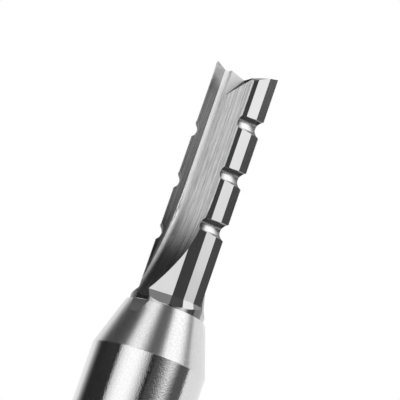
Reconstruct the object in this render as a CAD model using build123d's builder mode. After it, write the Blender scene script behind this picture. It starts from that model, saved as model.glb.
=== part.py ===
"""Straight three-flute carbide-headed router bit with chip breakers.

The bit stands on the flat end of its shank with its cutting end up.  A carbide
blank is brazed into a steel shank and then ground: each tooth has a flat rake
face, four relief facets, rounded chip breakers across the cutting edge and a
fishtail end with a gash to the centre.  The gullets are ground by a wheel that
runs out of the blank in a long arc and just touches the steel nose.

Units are millimetres.  The tool axis is Z and the shank end lies at Z = 0.
A tooth is described in its own frame, where its cutting corner lies on +X and
the tool turns towards +Y.
"""

import os
from math import acos, cos, degrees, radians, sin, tan

from build123d import *

# ---------------------------------------------------------------- driving sizes

# Levels along the axis
overall_length = 75.0
head_reach = 27.9            # cutting corners down to the rim of the steel nose
relief_reach = 26.5          # cutting corners down to the end of the relief facets
nose_height = 5.6            # conical nose, from its rim down to the plain shank

# Diameters
shank_diameter = 12.7
nose_rim_diameter = 9.05
blank_diameter = 8.4
cutting_diameter = 8.0

# Brazed joint
tail_length = 13.0           # length of blank held inside the shank
braze_gap = 0.1              # thickness of the brazing film around the tail
braze_fillet = 0.1           # width of the ring of braze showing at the rim
tail_chamfer = 0.4

# Shank end
shank_chamfer = 0.8

# Teeth
tooth_count = 3
first_tooth_angle = 86.5     # direction of the first tooth; the others follow clockwise
relief_angles = (22.0, 36.0, 50.0, 66.0)    # facet normals, behind the cutting edge
relief_widths = (1.04, 1.19, 1.30)          # the last facet runs on to the next gullet
flare_angle = 36.0           # slope from the facets out to the blank
flare_overrun = 0.1          # taper carried this far past the blank before it is trimmed

# Gullets
rake_angle = 22.0
core_radius = 1.87           # axis to the flat floor of a gullet
gullet_fillet = 0.24
gullet_straight = 14.5       # cutting corners down to the start of the run-out
wheel_radius = 37.0

# Chip breakers
breaker_pitch = 6.0
breakers_per_tooth = 3
first_breaker = 4.0          # below the cutting corners, on the first tooth
breaker_radius = 1.07        # rounded section of the groove
breaker_floor_radius = 3.47  # path of the groove's floor
breaker_shift = 0.5          # centre of that path, ahead of the axis
breaker_lead = 15.0          # angle at which the grinding pass starts, ahead of the corner
breaker_sweep = 95.0         # angle of the grinding pass

# End teeth
dish_angle = 14.0            # fall of the end edge towards the centre
end_land = 0.85
end_relief_angle = 8.5
end_clearance_angle = 35.0
end_sector_lead = 8.0        # how far each end tooth's sector starts ahead of its corner

# Gashes between the end teeth
gash_heading = 9.7           # direction of the gash floor in plan, from the corner's radius
gash_fall = 55.0             # slope of the gash floor, below the horizontal
gash_offset = 0.13           # gash floor line in plan, behind the axis
gash_level = 0.52            # gash floor line beside the axis, below the corners
gash_wall_tilt = 5.0
gash_corner_angle = 81.0     # angle between the two faces of the gash

# ---------------------------------------------------------------- worked-out values

shank_radius = shank_diameter / 2
nose_rim_radius = nose_rim_diameter / 2
blank_radius = blank_diameter / 2
cutting_radius = cutting_diameter / 2
socket_radius = blank_radius + braze_gap

tip_level = overall_length
rim_level = tip_level - head_reach
relief_end_level = tip_level - relief_reach
shoulder_level = rim_level - nose_height
tail_level = rim_level - tail_length
socket_level = tail_level - braze_gap

tooth_pitch_angle = 360 / tooth_count
breaker_stagger = breaker_pitch / tooth_count
tooth_angles = [first_tooth_angle - tooth_pitch_angle * k for k in range(tooth_count)]

clear = shank_diameter       # grinding volumes reach this far outside the tool


def direction(angle):
    """Unit vector in plan, at an angle from the cutting corner's radius."""
    return Vector(cos(radians(angle)), sin(radians(angle)), 0)


# ---------------------------------------------------------------- plan of the relief facets

corner = direction(0) * cutting_radius


def facet_edges():
    """Corners between the facets of one tooth, walking back from its cutting edge."""
    points = []
    here = corner
    for angle, width in zip(relief_angles, relief_widths):
        here = here + direction(-angle - 90) * width
        points.append(here)
    return points


def next_tooth_meeting(last_edge):
    """Where the last facet of a tooth meets the first facet plane of the tooth behind."""
    along = direction(-relief_angles[-1] - 90)
    first_normal = direction(-relief_angles[0] - tooth_pitch_angle)
    first_distance = cutting_radius * cos(radians(relief_angles[0]))
    travel = (first_distance - first_normal.dot(last_edge)) / first_normal.dot(along)
    return last_edge + along * travel


tooth_outline = facet_edges()
tooth_outline.append(next_tooth_meeting(tooth_outline[-1]))
relief_outline = [
    point.rotate(Axis.Z, angle) for angle in tooth_angles for point in tooth_outline
]

last_facet_edge = tooth_outline[-2]
last_facet_distance = direction(-relief_angles[-1]).dot(last_facet_edge)
flare_height = (blank_radius - last_facet_distance) / tan(radians(flare_angle)) + flare_overrun
flare_end_level = relief_end_level - flare_height

# ---------------------------------------------------------------- grinding volumes

# Gullet: flat floor, then an arc of the wheel's own radius out of the blank
wheel_axis_dir = direction(rake_angle + 90)
rake_start = -cutting_radius * sin(radians(rake_angle))
rake_plane = Plane(
    origin=wheel_axis_dir * rake_start,
    x_dir=direction(rake_angle),
    z_dir=-wheel_axis_dir,
)
runout_level = tip_level - gullet_straight
runout_angle = degrees(acos(1 - (shank_radius - core_radius) / wheel_radius))

with BuildPart() as gullet_wheel:
    with BuildSketch(rake_plane):
        with BuildLine():
            floor = Line((core_radius, tip_level + clear), (core_radius, runout_level))
            runout = JernArc(floor @ 1, (0, -1), wheel_radius, runout_angle)
            Polyline(
                runout @ 1,
                (shank_radius + clear, (runout @ 1).Y),
                (shank_radius + clear, tip_level + clear),
                floor @ 0,
            )
        make_face()
    extrude(amount=-2 * clear)
    rake_side = gullet_wheel.faces().sort_by(Axis((0, 0, 0), wheel_axis_dir))[0]
    floor_edges = rake_side.edges().sort_by(Axis((0, 0, 0), direction(rake_angle)))[0:2]
    fillet(floor_edges, gullet_fillet)

# Chip breaker: a rounded groove whose floor follows an arc set ahead of the axis
breaker_start = direction(breaker_lead)
breaker_axis = Axis((0, breaker_shift, 0), (0, 0, 1))

with BuildPart() as breaker_groove:
    with BuildSketch(
        Plane(
            origin=(0, breaker_shift, 0),
            x_dir=breaker_start,
            z_dir=breaker_start.cross(Vector(0, 0, 1)),
        )
    ):
        with Locations((breaker_floor_radius + breaker_radius, 0)):
            Circle(breaker_radius)
    revolve(axis=breaker_axis, revolution_arc=-breaker_sweep)

# End relief: a land and a steeper clearance behind the dished end edge
tip_corner = corner + Vector(0, 0, tip_level)
end_edge_dir = (
    direction(rake_angle) * cos(radians(dish_angle)) + Vector(0, 0, sin(radians(dish_angle)))
)
end_plane = Plane(origin=tip_corner, x_dir=-wheel_axis_dir, z_dir=-end_edge_dir)
land_drop = end_land * tan(radians(end_relief_angle))
clearance_drop = clear * tan(radians(end_clearance_angle))

with BuildPart() as end_relief:
    with BuildSketch(end_plane):
        with BuildLine():
            Polyline(
                (-clear, clear * tan(radians(end_relief_angle))),
                (end_land, -land_drop),
                (end_land + clear, -land_drop - clearance_drop),
                (end_land + clear, clear),
                (-clear, clear),
                close=True,
            )
        make_face()
    extrude(amount=clear, both=True)
    with BuildSketch(Plane.XY.offset(relief_end_level)):
        with BuildLine():
            Polyline(
                (0, 0),
                direction(end_sector_lead) * clear,
                direction(end_sector_lead - tooth_pitch_angle / 2) * clear,
                direction(end_sector_lead - tooth_pitch_angle) * clear,
                close=True,
            )
        make_face()
    extrude(amount=relief_reach + clear, mode=Mode.INTERSECT)

# Gash: a wheel corner that opens the centre in front of each end edge
gash_along = direction(gash_heading)
gash_floor_dir = (
    gash_along * cos(radians(gash_fall)) - Vector(0, 0, sin(radians(gash_fall)))
)
gash_across = direction(gash_heading + 90)
gash_rise = gash_floor_dir.cross(gash_across)
gash_wall_normal = (
    gash_across * cos(radians(gash_wall_tilt)) + gash_rise * sin(radians(gash_wall_tilt))
)
gash_plane = Plane(
    origin=Vector(0, 0, tip_level - gash_level) - gash_across * gash_offset,
    x_dir=gash_wall_normal,
    z_dir=gash_floor_dir,
)
gash_floor_tilt = 90 - gash_corner_angle

with BuildPart() as gash_wheel:
    with BuildSketch(gash_plane):
        with BuildLine():
            Polyline(
                (0, 0),
                (clear, clear * tan(radians(gash_floor_tilt))),
                (clear, clear),
                (0, clear),
                close=True,
            )
        make_face()
    extrude(amount=clear, both=True)

# ---------------------------------------------------------------- carbide cutter

with BuildPart() as carbide_cutter:
    # Faceted head, flaring out to the full blank below the facets
    with BuildSketch(Plane.XY.offset(relief_end_level)) as facets:
        with BuildLine():
            Polyline(*relief_outline, close=True)
        make_face()
    extrude(amount=relief_reach)
    extrude(facets.sketch, amount=-flare_height, taper=-flare_angle)
    # Round blank down to the brazed tail
    with BuildSketch(Plane.XY.offset(tail_level)):
        Circle(blank_radius)
    extrude(amount=flare_end_level - tail_level)
    with BuildSketch(Plane.XY.offset(tail_level)):
        Circle(blank_radius)
    extrude(amount=tail_length + head_reach, mode=Mode.INTERSECT)
    chamfer(carbide_cutter.edges().group_by(Axis.Z)[0], tail_chamfer)
    # Ground features, tooth by tooth
    for index, angle in enumerate(tooth_angles):
        with Locations(Location((0, 0, 0), (0, 0, angle))):
            add(gullet_wheel.part, mode=Mode.SUBTRACT)
            add(end_relief.part, mode=Mode.SUBTRACT)
            add(gash_wheel.part, mode=Mode.SUBTRACT)
        for row in range(breakers_per_tooth):
            depth = first_breaker + breaker_stagger * index + breaker_pitch * row
            with Locations(Location((0, 0, tip_level - depth), (0, 0, angle))):
                add(breaker_groove.part, mode=Mode.SUBTRACT)

carbide_cutter.part.label = "carbide_cutter"

# ---------------------------------------------------------------- steel shank

with BuildPart() as steel_shank:
    with BuildSketch(Plane.XZ):
        with BuildLine():
            Polyline(
                (0, 0),
                (shank_radius - shank_chamfer, 0),
                (shank_radius, shank_chamfer),
                (shank_radius, shoulder_level),
                (nose_rim_radius, rim_level),
                (socket_radius, rim_level),
                (socket_radius, socket_level),
                (0, socket_level),
                close=True,
            )
        make_face()
    revolve(axis=Axis.Z)
    # The gullet wheel just touches the nose as it leaves the blank
    for angle in tooth_angles:
        with Locations(Location((0, 0, 0), (0, 0, angle))):
            add(gullet_wheel.part, mode=Mode.SUBTRACT)

steel_shank.part.label = "steel_shank"

# ---------------------------------------------------------------- braze joint

with BuildPart() as braze_joint:
    with BuildSketch(Plane.XZ):
        with BuildLine():
            Polyline(
                (0, socket_level),
                (socket_radius, socket_level),
                (socket_radius, rim_level),
                (blank_radius, rim_level + braze_fillet),
                (blank_radius, tail_level + tail_chamfer),
                (blank_radius - tail_chamfer, tail_level),
                (0, tail_level),
                close=True,
            )
        make_face()
    revolve(axis=Axis.Z)

braze_joint.part.label = "braze_joint"

# ---------------------------------------------------------------- export

os.makedirs("parts", exist_ok=True)
export_step(carbide_cutter.part, "parts/carbide_cutter.step")
export_step(steel_shank.part, "parts/steel_shank.step")
export_step(braze_joint.part, "parts/braze_joint.step")
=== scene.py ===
from math import cos, radians, sin, tan
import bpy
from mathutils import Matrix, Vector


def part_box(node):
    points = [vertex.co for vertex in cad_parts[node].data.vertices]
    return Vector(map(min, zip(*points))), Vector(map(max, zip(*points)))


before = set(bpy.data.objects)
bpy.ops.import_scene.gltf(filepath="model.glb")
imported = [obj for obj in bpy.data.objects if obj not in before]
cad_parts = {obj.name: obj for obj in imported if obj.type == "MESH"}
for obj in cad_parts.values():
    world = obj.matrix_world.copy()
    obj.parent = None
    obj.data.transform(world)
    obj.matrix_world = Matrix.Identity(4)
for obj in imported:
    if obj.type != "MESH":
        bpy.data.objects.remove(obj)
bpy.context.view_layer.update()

from types import SimpleNamespace

import bpy
from mathutils import Matrix, Vector

# The router bit stands on its shank end with the cutting end up.  Its three CAD
# nodes keep their shapes; this script gives them their ground finishes and sets
# up the camera, the floor and a small tabletop studio.  Sizes are in metres.

MM = 0.001

# ------------------------------------------------------------ places on the bit

# Levels along the axis
tip_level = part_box("carbide_cutter")[1].z
rim_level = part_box("steel_shank")[1].z
nose_height = 5.6 * MM
shoulder_level = rim_level - nose_height
relief_reach = 26.5 * MM
relief_end_level = tip_level - relief_reach

# Distances from the axis
blank_radius = 4.2 * MM
rake_offset = 1.498 * MM         # to the plane of a rake face
core_reach = 1.8 * MM            # a little less than to the gullets' floors
gash_reach = 2.9 * MM            # the gashes lie within it and the chip breakers outside
skin = 0.03 * MM                 # a point this near to a surface counts as on it

# The fillet between a gullet's floor and its rake face
gullet_fillet = 0.24 * MM
fillet_highlight_reach = 0.42 * MM    # how far its painted highlight, and its extra lean, run out over the floor

# Directions around the bit, in degrees from +X. The other teeth follow clockwise.
tooth_count = 3
tooth_pitch = 360 / tooth_count
first_gullet_facing = 108.5      # what the first gullet's floor faces
rake_turn = 90                   # a rake face is square to its gullet's floor
breaker_highlight_heading = 62             # middle of the first tooth's chip breakers, where their painted highlight is brightest
gash_wall_facing = -161          # what the steep wall of the first gash faces
gash_wall_climb = 34             # and how far it faces up

# ------------------------------------------------------------ camera

focus_aside = -0.4555 * MM
focus_drop = 14.979 * MM         # below the tip
camera_distance = 280 * MM
camera_rise = 12.2               # degrees that the line of sight climbs
camera_roll = 19.1
camera_clip_start = 10 * MM
sensor_width = 36.0              # millimetres of film
frame_width = 400                # pixels
pixels_per_metre = 9221.3        # at the focus


def add_camera():
    """A long lens, a little below the head and rolled to lean the bit to the left."""
    rise, roll = radians(camera_rise), radians(camera_roll)
    level_right = Vector((1, 0, 0))
    level_up = Vector((0, -sin(rise), cos(rise)))
    ahead = Vector((0, cos(rise), sin(rise)))
    right = level_right * cos(roll) + level_up * sin(roll)
    up = level_up * cos(roll) - level_right * sin(roll)
    turn = Matrix((right, up, -ahead)).transposed().to_4x4()
    focus = Vector((focus_aside, 0, tip_level - focus_drop))

    bpy.ops.object.camera_add()
    camera = bpy.context.object
    camera.name = "camera"
    camera.matrix_world = Matrix.Translation(focus - ahead * camera_distance) @ turn
    camera.data.sensor_width = sensor_width
    camera.data.lens = pixels_per_metre * camera_distance / frame_width * sensor_width
    camera.data.clip_start = camera_clip_start
    bpy.context.scene.camera = camera


# ------------------------------------------------------------ shader helpers

def new_material(name):
    """A node material, with its tree and its principled shader."""
    material = bpy.data.materials.new(name)
    material.use_nodes = True
    tree = material.node_tree
    return material, tree, tree.nodes["Principled BSDF"]


def feed(tree, socket, value):
    """Links another node's output to a socket, or sets the socket to a plain value."""
    if isinstance(value, bpy.types.NodeSocket):
        tree.links.new(value, socket)
    else:
        socket.default_value = value


def math_node(tree, operation, first, second=None, third=None, clamp=False):
    """One Math node."""
    node = tree.nodes.new("ShaderNodeMath")
    node.operation = operation
    node.use_clamp = clamp
    for socket, value in zip(node.inputs, (first, second, third)):
        if value is not None:
            feed(tree, socket, value)
    return node.outputs[0]


def vector_node(tree, operation, first, second=None, scale=None):
    """One Vector Math node: it gives a number for a length or dot product, else a vector."""
    node = tree.nodes.new("ShaderNodeVectorMath")
    node.operation = operation
    feed(tree, node.inputs[0], first)
    if second is not None:
        feed(tree, node.inputs[1], second)
    if scale is not None:
        feed(tree, node.inputs["Scale"], scale)
    return node.outputs["Value" if operation in ("DOT_PRODUCT", "LENGTH") else "Vector"]


def object_place(tree):
    """The Object coordinates."""
    return tree.nodes.new("ShaderNodeTexCoord").outputs["Object"]


def surface_normal(tree):
    """The surface's own direction, without bumps."""
    return tree.nodes.new("ShaderNodeNewGeometry").outputs["True Normal"]


def axis_part(tree, vector, axis):
    """One part of a vector."""
    parts = tree.nodes.new("ShaderNodeSeparateXYZ")
    feed(tree, parts.inputs[0], vector)
    return parts.outputs[axis]


def radius_part(tree, place):
    """Distance from the bit's axis."""
    flat = vector_node(tree, "MULTIPLY", place, (1, 1, 0))
    return vector_node(tree, "LENGTH", flat)


def noise(tree, place, cells, detail=2.0, roughness=0.5):
    """A noise pattern, with its own number of cells per millimetre along each axis."""
    mapping = tree.nodes.new("ShaderNodeMapping")
    mapping.inputs["Scale"].default_value = [count / MM for count in cells]
    feed(tree, mapping.inputs["Vector"], place)
    texture = tree.nodes.new("ShaderNodeTexNoise")
    texture.inputs["Scale"].default_value = 1.0
    texture.inputs["Detail"].default_value = detail
    texture.inputs["Roughness"].default_value = roughness
    feed(tree, texture.inputs["Vector"], mapping.outputs["Vector"])
    return texture.outputs["Fac"]


def ramp(tree, value, low, high, to_low=0.0, to_high=1.0):
    """Value stretched from low..high to to_low..to_high, smoothly."""
    node = tree.nodes.new("ShaderNodeMapRange")
    node.interpolation_type = "SMOOTHSTEP"
    feed(tree, node.inputs["Value"], value)
    for socket, number in zip(node.inputs[1:5], (low, high, to_low, to_high)):
        socket.default_value = number
    return node.outputs["Result"]


def mix(tree, share, first, second):
    """first where share is 0, second where it is 1."""
    node = tree.nodes.new("ShaderNodeMix")
    feed(tree, node.inputs["Factor"], share)
    feed(tree, node.inputs["A"], first)
    feed(tree, node.inputs["B"], second)
    return node.outputs["Result"]


def largest(tree, values):
    """The largest of several values."""
    best = values[0]
    for value in values[1:]:
        best = math_node(tree, "MAXIMUM", best, value)
    return best


def without(tree, share, other):
    """share where other is 0, and 0 where other is 1."""
    return math_node(tree, "SUBTRACT", share, other, clamp=True)


def grey(tree, value):
    """A neutral colour from a brightness."""
    node = tree.nodes.new("ShaderNodeCombineColor")
    for socket in node.inputs:
        feed(tree, socket, value)
    return node.outputs["Color"]


def bump(tree, height, depth):
    """The normal of a bump of the given depth in metres."""
    node = tree.nodes.new("ShaderNodeBump")
    node.inputs["Strength"].default_value = 1.0
    node.inputs["Distance"].default_value = depth
    feed(tree, node.inputs["Height"], height)
    return node.outputs["Normal"]


# ------------------------------------------------------------ directions on the bit

def length_along(tree, vector, direction, climb=0):
    """The vector's length along a direction around the bit, climbing by some degrees."""
    angle, rise = radians(direction), radians(climb)
    unit = (cos(angle) * cos(rise), sin(angle) * cos(rise), sin(rise))
    return vector_node(tree, "DOT_PRODUCT", vector, unit)


def directions_from(first):
    """A direction on the first tooth, and the same on the others."""
    return [first - tooth_pitch * tooth for tooth in range(tooth_count)]


def nearest_tooth(tree, vector, first_direction, climb=0):
    """The vector's length along that one of three directions that it is nearest to."""
    lengths = [
        length_along(tree, vector, direction, climb)
        for direction in directions_from(first_direction)
    ]
    return largest(tree, lengths)


def corner_share(tree, place):
    """1 in the fillet of a gullet's corner, falling to 0 out over its floor."""
    shares = []
    for direction in directions_from(first_gullet_facing):
        outward = length_along(tree, place, direction)
        aside = length_along(tree, place, direction + rake_turn)
        fillet_edge = gullet_fillet - rake_offset
        share = ramp(tree, aside, fillet_edge, fillet_edge + fillet_highlight_reach, 1.0, 0.0)
        past_rake = math_node(tree, "GREATER_THAN", aside, -rake_offset - skin)
        past_core = math_node(tree, "GREATER_THAN", outward, core_reach)
        here = math_node(tree, "MULTIPLY", past_rake, past_core)
        shares.append(math_node(tree, "MULTIPLY", share, here))
    return largest(tree, shares)


def turned_aside(tree, normal, lean):
    """The normal turned about the vertical by a small lean, in radians."""
    aside = vector_node(tree, "CROSS_PRODUCT", (0, 0, 1), normal)
    step = vector_node(tree, "SCALE", aside, scale=lean)
    return vector_node(tree, "NORMALIZE", vector_node(tree, "ADD", normal, step))


def along_gullet(tree, place, normal):
    """Coordinates across a gullet's faces and along them, which differ by tooth."""
    level = vector_node(tree, "CROSS_PRODUCT", (0, 0, 1), normal)
    level = vector_node(tree, "NORMALIZE", level)
    joined = tree.nodes.new("ShaderNodeCombineXYZ")
    feed(tree, joined.inputs["X"], vector_node(tree, "DOT_PRODUCT", level, place))
    tooth = math_node(tree, "MULTIPLY", axis_part(tree, normal, "X"), MM)
    feed(tree, joined.inputs["Y"], tooth)
    feed(tree, joined.inputs["Z"], axis_part(tree, place, "Z"))
    return joined.outputs["Vector"]


# ------------------------------------------------------------ ground carbide

def up_the_bit(low_drop, high_drop, at_low, at_high):
    """What ramp needs between two levels, which are given in millimetres below the tip."""
    return tip_level - low_drop * MM, tip_level - high_drop * MM, at_low, at_high


# What tells the surfaces apart: under the first value it is none of it, over the
# second all of it
gullet_floor_match = (0.9, 0.93)     # how squarely it faces the way a gullet's floor does
rake_match = (0.985, 0.99)           # the way a rake face does
gash_wall_match = (0.96, 0.98)       # the way a gash's wall does
notch_slope = (0.01, 0.03)           # how far it faces up or down
whole_fillet = 0.999                 # corner share that only the fillet itself has

# What changes up the bit
# painted shade: the gullets' floors are painted darker down the run-out
gullet_painted_shade = up_the_bit(24, 14, 0.35, 1.0)
gullet_roughness = up_the_bit(24, 15, 0.2, 0.36)
# painted highlight on the fillets, fading to painted shade down the run-out
fillet_painted_light = up_the_bit(26, 15, 0.3, 0.97)
# painted shade: the rake faces are painted far darker than the rest of the carbide, darkest
# low down
rake_painted_shade = up_the_bit(25, 5, 0.1, 0.21)
rake_tip_painted_highlight = up_the_bit(3, 1.5, 0.0, 0.3)      # a painted highlight added to it near the tip
mark_fade = up_the_bit(20, 14.5, 0.0, 1.0)          # the marks end in the run-out

# The wheel marks: cells per millimetre across a gullet, from tooth to tooth and along it
coarse_cells = (7, 2, 0.03)
fine_cells = (12, 3, 0.45)
mark_detail = 3.0
coarse_roughness = 0.8
fine_roughness = 0.75
coarse_contrast = (0.4, 0.6)
fine_contrast = (0.35, 0.65)

# Tones
gullet_tone = 0.46
gullet_coarse_tone = 0.29        # added by the marks
gullet_fine_tone = 0.31
rake_coarse_tone = 0.12
facet_tone = 0.51
facet_cloud_tone = 0.06
facet_cloud_cells = (0.6, 0.6, 0.3)

# Roughness and marks
facet_roughness = 0.07
fillet_roughness = 0.28
rake_roughness = 0.12
carbide_anisotropy = 0.8
carbide_mark_depth = 0.012 * MM
coarse_mark_share = 0.6          # depth of the coarse marks beside the fine ones
facet_mark_share = 0.05          # depth of the marks on a facet beside a gullet's
gullet_floor_lean = 0.08         # radians: the wheel leaves the floors a little hollow,
corner_lean = 0.16               # and more so beside the fillet

# Chip breakers and end gashes
breaker_painted_highlight = (0.94, 0.99, 0.32, 0.72)    # painted highlight: from their sides to their middle
breaker_roughness = 0.25
gash_face_tone = 0.78
gash_face_roughness = 0.5
gash_face_metal = 0.2
# painted shade: the gashes' walls are painted darker than the rest of the carbide, for a dark
# line along them
gash_wall_shaded_tone = 0.38
gash_wall_roughness = 0.15
notch_edge_tint = (0.2, 0.2, 0.2, 1)        # darkens what is seen at a glancing angle


def carbide_zones(tree, place, level, normal):
    """Where each kind of surface is: 1 on it and 0 elsewhere."""
    off_axis = radius_part(tree, place)
    steepness = math_node(tree, "ABSOLUTE", axis_part(tree, normal, "Z"))
    corner = corner_share(tree, place)

    # gullets
    rake_facing = nearest_tooth(tree, normal, first_gullet_facing + rake_turn)
    rake = ramp(tree, rake_facing, *rake_match)
    fillet = math_node(tree, "GREATER_THAN", corner, whole_fillet)
    fillet = without(tree, fillet, rake)
    floor = ramp(tree, nearest_tooth(tree, normal, first_gullet_facing), *gullet_floor_match)
    inside = math_node(tree, "LESS_THAN", off_axis, blank_radius - skin)
    floor = without(tree, math_node(tree, "MULTIPLY", floor, inside), fillet)
    gullet = math_node(tree, "MAXIMUM", floor, rake)

    # notches: chip breakers and gashes
    on_head = math_node(tree, "GREATER_THAN", level, relief_end_level)
    notch = math_node(tree, "MULTIPLY", ramp(tree, steepness, *notch_slope), on_head)
    notch = without(tree, notch, math_node(tree, "MAXIMUM", gullet, fillet))
    gash = math_node(tree, "LESS_THAN", off_axis, gash_reach)
    wall_facing = nearest_tooth(tree, normal, gash_wall_facing, gash_wall_climb)
    gash_wall = ramp(tree, wall_facing, *gash_wall_match)
    breaker_highlight_nearness = nearest_tooth(tree, place, breaker_highlight_heading)
    breaker_highlight_nearness = math_node(tree, "DIVIDE", breaker_highlight_nearness, off_axis)

    return SimpleNamespace(
        corner=corner, rake=rake, fillet=fillet, floor=floor, gullet=gullet,
        notch=notch, gash=gash, gash_wall=gash_wall, breaker_highlight_nearness=breaker_highlight_nearness,
    )


def wheel_marks(tree, place, normal):
    """The gullets' coarse and fine wheel marks."""
    lines = along_gullet(tree, place, normal)
    coarse = noise(tree, lines, coarse_cells, mark_detail, coarse_roughness)
    fine = noise(tree, lines, fine_cells, mark_detail, fine_roughness)
    return ramp(tree, coarse, *coarse_contrast), ramp(tree, fine, *fine_contrast)


def carbide_tone(tree, place, level, zones, coarse, fine):
    """Brightness of the ground faces, with a painted highlight along the fillets and painted
    shade on the rake faces and down the run-out.
    """
    # painted highlight along the fillets, which spreads out over the floors beside them
    painted_fillet_light = ramp(tree, level, *fillet_painted_light)
    floor = math_node(tree, "MULTIPLY_ADD", coarse, gullet_coarse_tone, gullet_tone)
    floor = math_node(tree, "MULTIPLY_ADD", fine, gullet_fine_tone, floor)
    # painted shade down the run-out
    floor = math_node(tree, "MULTIPLY", floor, ramp(tree, level, *gullet_painted_shade))
    floor = mix(tree, zones.corner, floor, painted_fillet_light)

    # painted shade on the rake faces, with a painted highlight near the tip
    rake = ramp(tree, level, *rake_painted_shade)
    rake = math_node(tree, "ADD", rake, ramp(tree, level, *rake_tip_painted_highlight))
    rake = math_node(tree, "MULTIPLY_ADD", coarse, rake_coarse_tone, rake)
    gullet = mix(tree, zones.rake, floor, rake)

    clouds = noise(tree, place, facet_cloud_cells)
    facet = math_node(tree, "MULTIPLY_ADD", clouds, facet_cloud_tone, facet_tone)
    # the fillet itself gets the painted highlight
    facet = mix(tree, zones.fillet, facet, painted_fillet_light)
    return mix(tree, zones.gullet, facet, gullet)


def carbide_roughness(tree, level, zones):
    """Roughness of the ground faces."""
    gullet = mix(tree, zones.rake, ramp(tree, level, *gullet_roughness), rake_roughness)
    facet = mix(tree, zones.fillet, facet_roughness, fillet_roughness)
    return mix(tree, zones.gullet, facet, gullet)


def carbide_normal(tree, level, zones, coarse, fine):
    """The normal, with the wheel marks and the slight hollow of the floors."""
    depth = mix(tree, zones.gullet, facet_mark_share, ramp(tree, level, *mark_fade))
    depth = mix(tree, zones.fillet, depth, 0.0)
    marks = math_node(tree, "MULTIPLY_ADD", coarse, coarse_mark_share, fine)
    marked = bump(tree, math_node(tree, "MULTIPLY", marks, depth), carbide_mark_depth)
    lean = math_node(tree, "MULTIPLY_ADD", zones.corner, corner_lean, gullet_floor_lean)
    lean = math_node(tree, "MULTIPLY", zones.floor, lean)
    return turned_aside(tree, marked, lean)


def notch_shader(tree, zones):
    """The softer finish of the chip breakers and of the gashes, with a painted highlight in
    the middle of each chip breaker and painted shade on the gashes' walls.
    """
    # the gashes' walls get painted shade
    gash_tone = mix(tree, zones.gash_wall, gash_face_tone, gash_wall_shaded_tone)
    gash_roughness = mix(tree, zones.gash_wall, gash_face_roughness, gash_wall_roughness)
    gash_metal = mix(tree, zones.gash_wall, gash_face_metal, 1.0)
    # painted highlight: brightest in the middle of each chip breaker
    breaker_highlight_tone = ramp(tree, zones.breaker_highlight_nearness, *breaker_painted_highlight)

    notch = tree.nodes.new("ShaderNodeBsdfPrincipled")
    tone = mix(tree, zones.gash, breaker_highlight_tone, gash_tone)
    roughness = mix(tree, zones.gash, breaker_roughness, gash_roughness)
    feed(tree, notch.inputs["Base Color"], grey(tree, tone))
    feed(tree, notch.inputs["Roughness"], roughness)
    feed(tree, notch.inputs["Metallic"], mix(tree, zones.gash, 1.0, gash_metal))
    notch.inputs["Specular Tint"].default_value = notch_edge_tint
    return notch


def ground_carbide():
    """Fine-grained carbide: polished facets, gullets ground along the axis, softer notches."""
    material, tree, shader = new_material("ground_carbide")
    place = object_place(tree)
    level = axis_part(tree, place, "Z")
    normal = surface_normal(tree)
    zones = carbide_zones(tree, place, level, normal)
    coarse, fine = wheel_marks(tree, place, normal)

    tone = carbide_tone(tree, place, level, zones, coarse, fine)
    feed(tree, shader.inputs["Base Color"], grey(tree, tone))
    feed(tree, shader.inputs["Roughness"], carbide_roughness(tree, level, zones))
    feed(tree, shader.inputs["Normal"], carbide_normal(tree, level, zones, coarse, fine))
    shader.inputs["Metallic"].default_value = 1.0
    shader.inputs["Anisotropic"].default_value = carbide_anisotropy
    around = tree.nodes.new("ShaderNodeTangent")
    around.direction_type = "RADIAL"
    around.axis = "Z"
    feed(tree, shader.inputs["Tangent"], around.outputs["Tangent"])

    both = tree.nodes.new("ShaderNodeMixShader")
    feed(tree, both.inputs["Fac"], zones.notch)
    feed(tree, both.inputs[1], shader.outputs["BSDF"])
    feed(tree, both.inputs[2], notch_shader(tree, zones).outputs["BSDF"])
    feed(tree, tree.nodes["Material Output"].inputs["Surface"], both.outputs["Shader"])
    return material


# ------------------------------------------------------------ ground steel

# Each pair is the shank's value and the nose's
steel_tones = (0.66, 0.63)
steel_grain_tones = (0.05, 0.1)  # added by the grain
steel_roughness = (0.1, 0.24)
steel_mark_shares = (1.0, 0.45)  # depth of the marks
steel_grain_cells = (8, 8, 8)
steel_grain_contrast = (0.35, 0.65)
speckle_cells = (6.5, 6.5, 6.5)
turning_cells = (0.25, 0.25, 14)
turning_share = 0.1              # depth of the turning marks beside the speckle
steel_mark_depth = 0.0085 * MM


def ground_steel():
    """Tool steel: a ground shank with a fine speckle and a turned, softer nose."""
    material, tree, shader = new_material("ground_steel")
    place = object_place(tree)
    on_nose = math_node(tree, "GREATER_THAN", axis_part(tree, place, "Z"), shoulder_level)

    grain = noise(tree, place, steel_grain_cells, roughness=0.6)
    grain = ramp(tree, grain, *steel_grain_contrast)
    grain = math_node(tree, "MULTIPLY", grain, mix(tree, on_nose, *steel_grain_tones))
    tone = math_node(tree, "ADD", grain, mix(tree, on_nose, *steel_tones))
    feed(tree, shader.inputs["Base Color"], grey(tree, tone))
    feed(tree, shader.inputs["Roughness"], mix(tree, on_nose, *steel_roughness))

    turning_marks = noise(tree, place, turning_cells, detail=3.0, roughness=0.6)
    speckle = noise(tree, place, speckle_cells, detail=1.0)
    marks = math_node(tree, "MULTIPLY_ADD", turning_marks, turning_share, speckle)
    marks = math_node(tree, "MULTIPLY", marks, mix(tree, on_nose, *steel_mark_shares))
    feed(tree, shader.inputs["Normal"], bump(tree, marks, steel_mark_depth))
    shader.inputs["Metallic"].default_value = 1.0
    return material


# ------------------------------------------------------------ silver braze

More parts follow.
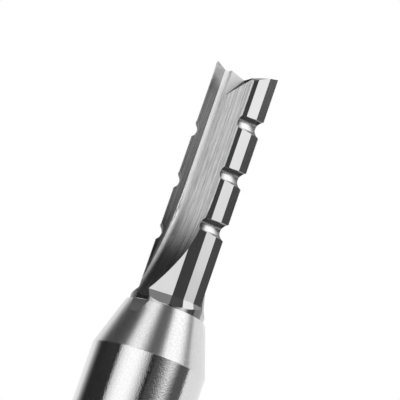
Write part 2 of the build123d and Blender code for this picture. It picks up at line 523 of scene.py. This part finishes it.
braze_tone = 0.7
braze_flow_tone = 0.15           # added where the alloy flowed
braze_flow_cells = (2, 2, 2)
braze_shine = (0.3, 0.7, 0.18, 0.3)         # from flow 0.3 to 0.7, its roughness
braze_flow_depth = 0.01 * MM


def silver_braze():
    """A bright, slightly uneven ring of brazing alloy."""
    material, tree, shader = new_material("silver_braze")
    flow = noise(tree, object_place(tree), braze_flow_cells)
    tone = math_node(tree, "MULTIPLY_ADD", flow, braze_flow_tone, braze_tone)
    feed(tree, shader.inputs["Base Color"], grey(tree, tone))
    feed(tree, shader.inputs["Roughness"], ramp(tree, flow, *braze_shine))
    feed(tree, shader.inputs["Normal"], bump(tree, flow, braze_flow_depth))
    shader.inputs["Metallic"].default_value = 1.0
    return material


def finish_nodes():
    """Each CAD node's own finish."""
    for name, make in (
        ("carbide_cutter", ground_carbide),
        ("steel_shank", ground_steel),
        ("braze_joint", silver_braze),
    ):
        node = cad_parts[name]
        node.data.materials.clear()
        node.data.materials.append(make())


# ------------------------------------------------------------ studio

studio_drop = 20 * MM            # the panels and lamps face a point this far below the tip
studio_centre = Vector((0, 0, tip_level - studio_drop))

floor_size = 4.0
paint_colour = (0.87, 0.87, 0.87, 1)
paint_roughness = 0.7

panel_distance = 0.6             # from the bit, where a panel gives no other
soft_box_glow = 1.4              # polished metal shows it a little brighter than the backdrop
backdrop_glow = 1.0
card_glow = 0.03
grey_card_glow = 0.1
front_card_glow = 0.09
above_distance = 1.1

table_card_heading = 48          # degrees
table_card_reach = 230 * MM      # from the bit to the card's middle
table_card_rise = 1 * MM         # above the floor
table_card_width = 320 * MM
table_card_length = 420 * MM

lamp_size = 0.6
lamp_power = 0.5
world_glow = 1.0                 # to the eye and in metal
world_fill = 0.9                 # on dull surfaces


def add_floor():
    """A plain pale floor."""
    bpy.ops.mesh.primitive_plane_add(size=floor_size)
    floor = bpy.context.object
    floor.name = "floor"
    material, _, shader = new_material("floor_paint")
    shader.inputs["Base Color"].default_value = paint_colour
    shader.inputs["Roughness"].default_value = paint_roughness
    floor.data.materials.append(material)


def facing_bit(azimuth, elevation, roll=0, distance=panel_distance):
    """Matrix of a panel or lamp turned to face the bit, out at that direction from it.

    Azimuth 0 is straight ahead of the bit and 90 to its right.
    """
    a, e = radians(azimuth), radians(elevation)
    out = Vector((sin(a) * cos(e), -cos(a) * cos(e), sin(e)))
    turn = out.to_track_quat("Z", "Y").to_matrix().to_4x4()
    place = Matrix.Translation(studio_centre + out * distance)
    return place @ turn @ Matrix.Rotation(radians(roll), 4, "Z")


def glow_material(name, glows, fades):
    """A panel's brightness: glows are the one at its edges and the one in its middle.

    fades are the shares of the panel that its left, right, low and high edges take to
    change from one to the other.
    """
    material = bpy.data.materials.new(name)
    material.use_nodes = True
    tree = material.node_tree
    tree.nodes.clear()
    place = object_place(tree)
    left, right, low, high = fades
    edge_glow, glow = glows
    half = 0.5                   # the panel's mesh is one unit square, about its middle
    window = None
    for axis, start, end in (
        ("X", -half, left - half),
        ("X", half, half - right),
        ("Y", -half, low - half),
        ("Y", half, half - high),
    ):
        if start == end:
            continue
        edge = ramp(tree, axis_part(tree, place, axis), start, end)
        window = edge if window is None else math_node(tree, "MULTIPLY", window, edge)
    strength = glow
    if window is not None:
        strength = math_node(tree, "MULTIPLY_ADD", window, glow - edge_glow, edge_glow)
    emission = tree.nodes.new("ShaderNodeEmission")
    feed(tree, emission.inputs["Strength"], strength)
    output = tree.nodes.new("ShaderNodeOutputMaterial")
    feed(tree, output.inputs["Surface"], emission.outputs["Emission"])
    material.cycles.emission_sampling = "NONE"
    return material


def add_flat(name, matrix, width, height, glows, fades):
    """A glowing sheet that only polished metal shows."""
    bpy.ops.mesh.primitive_plane_add(size=1)
    panel = bpy.context.object
    panel.name = name
    panel.matrix_world = matrix @ Matrix.Diagonal((width, height, 1, 1))
    panel.data.materials.append(glow_material(name, glows, fades))
    panel.visible_camera = False
    panel.visible_diffuse = False
    panel.visible_shadow = False


def add_panel(name, pose, edges, glows, fades=(0, 0, 0, 0), distance=panel_distance):
    """A soft box or a card out at a distance and facing the bit.

    pose is its azimuth, elevation and roll. edges are its left, right, low and high
    edges, in degrees from the direction of its pose.
    """
    x0, x1, y0, y1 = (distance * tan(radians(angle)) for angle in edges)
    centre = Matrix.Translation(((x0 + x1) / 2, (y0 + y1) / 2, 0))
    matrix = facing_bit(*pose, distance=distance) @ centre
    add_flat(name, matrix, x1 - x0, y1 - y0, glows, fades)


def add_soft_boxes():
    """What metal shows of the two soft boxes: brightest in the middle."""
    add_panel(
        "soft_box_left", pose=(-29.35, -16.6, 9.44), edges=(-46, 43, -15, 68),
        glows=(card_glow, soft_box_glow), fades=(0.5, 0.4, 0, 0),
    )
    add_panel(
        "soft_box_right", pose=(55.4, 35.8, -29.46), edges=(-33, 24.5, -39.4, 52.5),
        glows=(0.07, 1.05 * soft_box_glow), fades=(0.26, 0.39, 0.19, 0.27), distance=0.58,
    )


def add_front_cards():
    """Dark cards in front of the bit, which keep its facets and its nose dark in places."""
    add_panel(
        "card_front", pose=(5.63, 43.99, 10.57), edges=(-12.4, 30, -60, 30),
        glows=(card_glow, front_card_glow), distance=0.62,
    )
    add_panel(
        "card_seam", pose=(8.5, 12), edges=(-4.5, 4, -14, 14),
        glows=(front_card_glow, 0.012), fades=(0, 0.5, 0.3, 0.3), distance=0.56,
    )
    add_table_card()


def add_side_cards():
    """Dark cards to the left and right, and a bright strip on the left one."""
    add_panel(
        "card_left", pose=(-91, 0), edges=(-51.3, 30, -40, 60),
        glows=(backdrop_glow, card_glow), fades=(0.5, 0, 0, 0.1), distance=0.64,
    )
    add_panel(
        "card_left_high", pose=(-91, 0), edges=(-30, 30, 35, 60),
        glows=(backdrop_glow, 0.07), fades=(0.3, 0, 0, 0.1), distance=0.635,
    )
    add_panel(
        "strip_left", pose=(-84, 0), edges=(-18, 18, 12, 27),
        glows=(0.06, 1.05), fades=(0.1, 0.1, 0, 0.7), distance=0.63,
    )
    add_panel(
        "card_right", pose=(62, 0, -10), edges=(-35, 23, -40, 60),
        glows=(card_glow, 0.115), distance=0.66,
    )


def add_far_cards():
    """Cards above and behind, which the end of the head and the blank show."""
    add_panel(
        "card_above_left", pose=(0, 89.9), edges=(-36, 0, -36, 36),
        glows=(backdrop_glow, 0.36), fades=(0.1, 0, 0.1, 0.1), distance=above_distance,
    )
    add_panel(
        "card_above_right", pose=(0, 89.9), edges=(0, 36, -36, 36),
        glows=(backdrop_glow, 0.06), fades=(0, 0.1, 0.1, 0.1), distance=above_distance,
    )
    add_panel(
        "card_back", pose=(-168, 23), edges=(-8, 8, -6, 8),
        glows=(grey_card_glow, grey_card_glow),
    )
    add_panel(
        "flag_above", pose=(40, 81), edges=(-6, 6, -6, 6),
        glows=(grey_card_glow, grey_card_glow), distance=0.45,
    )


def add_table_card():
    """A dark sheet on the floor at the bit's front right."""
    ahead = Matrix.Rotation(radians(table_card_heading), 4, "Z")
    add_flat(
        "card_table", ahead @ Matrix.Translation((0, -table_card_reach, table_card_rise)),
        table_card_width, table_card_length, glows=(0.5, 0.045), fades=(0.2, 0.2, 0.35, 0.03),
    )


def add_lamp(name, azimuth, elevation):
    """A soft box's light on the floor."""
    bpy.ops.object.light_add(type="AREA")
    lamp = bpy.context.object
    lamp.name = name
    lamp.matrix_world = facing_bit(azimuth, elevation)
    lamp.data.shape = "RECTANGLE"
    lamp.data.size = lamp_size
    lamp.data.size_y = lamp_size
    lamp.data.energy = lamp_power
    lamp.visible_camera = False
    lamp.visible_glossy = False


def add_lamps():
    """A soft box on each side of the camera."""
    add_lamp("lamp_left", -32, 25)
    add_lamp("lamp_right", 55, 40)


def light_world():
    """Soft white surroundings, as bright as white paper to the eye and in metal."""
    world = bpy.data.worlds.new("studio")
    bpy.context.scene.world = world
    world.use_nodes = True
    tree = world.node_tree
    background = tree.nodes["Background"]
    background.inputs["Color"].default_value = (1, 1, 1, 1)
    path = tree.nodes.new("ShaderNodeLightPath")
    rays = ("Is Camera Ray", "Is Glossy Ray", "Is Transmission Ray")
    seen = largest(tree, [path.outputs[ray] for ray in rays])
    strength = math_node(tree, "MULTIPLY_ADD", seen, world_glow - world_fill, world_fill)
    feed(tree, background.inputs["Strength"], strength)


# ------------------------------------------------------------ scene

bpy.ops.object.select_all(action="DESELECT")
bpy.context.scene.view_settings.view_transform = "Standard"
add_camera()
finish_nodes()
add_floor()
add_soft_boxes()
add_front_cards()
add_side_cards()
add_far_cards()
add_lamps()
light_world()
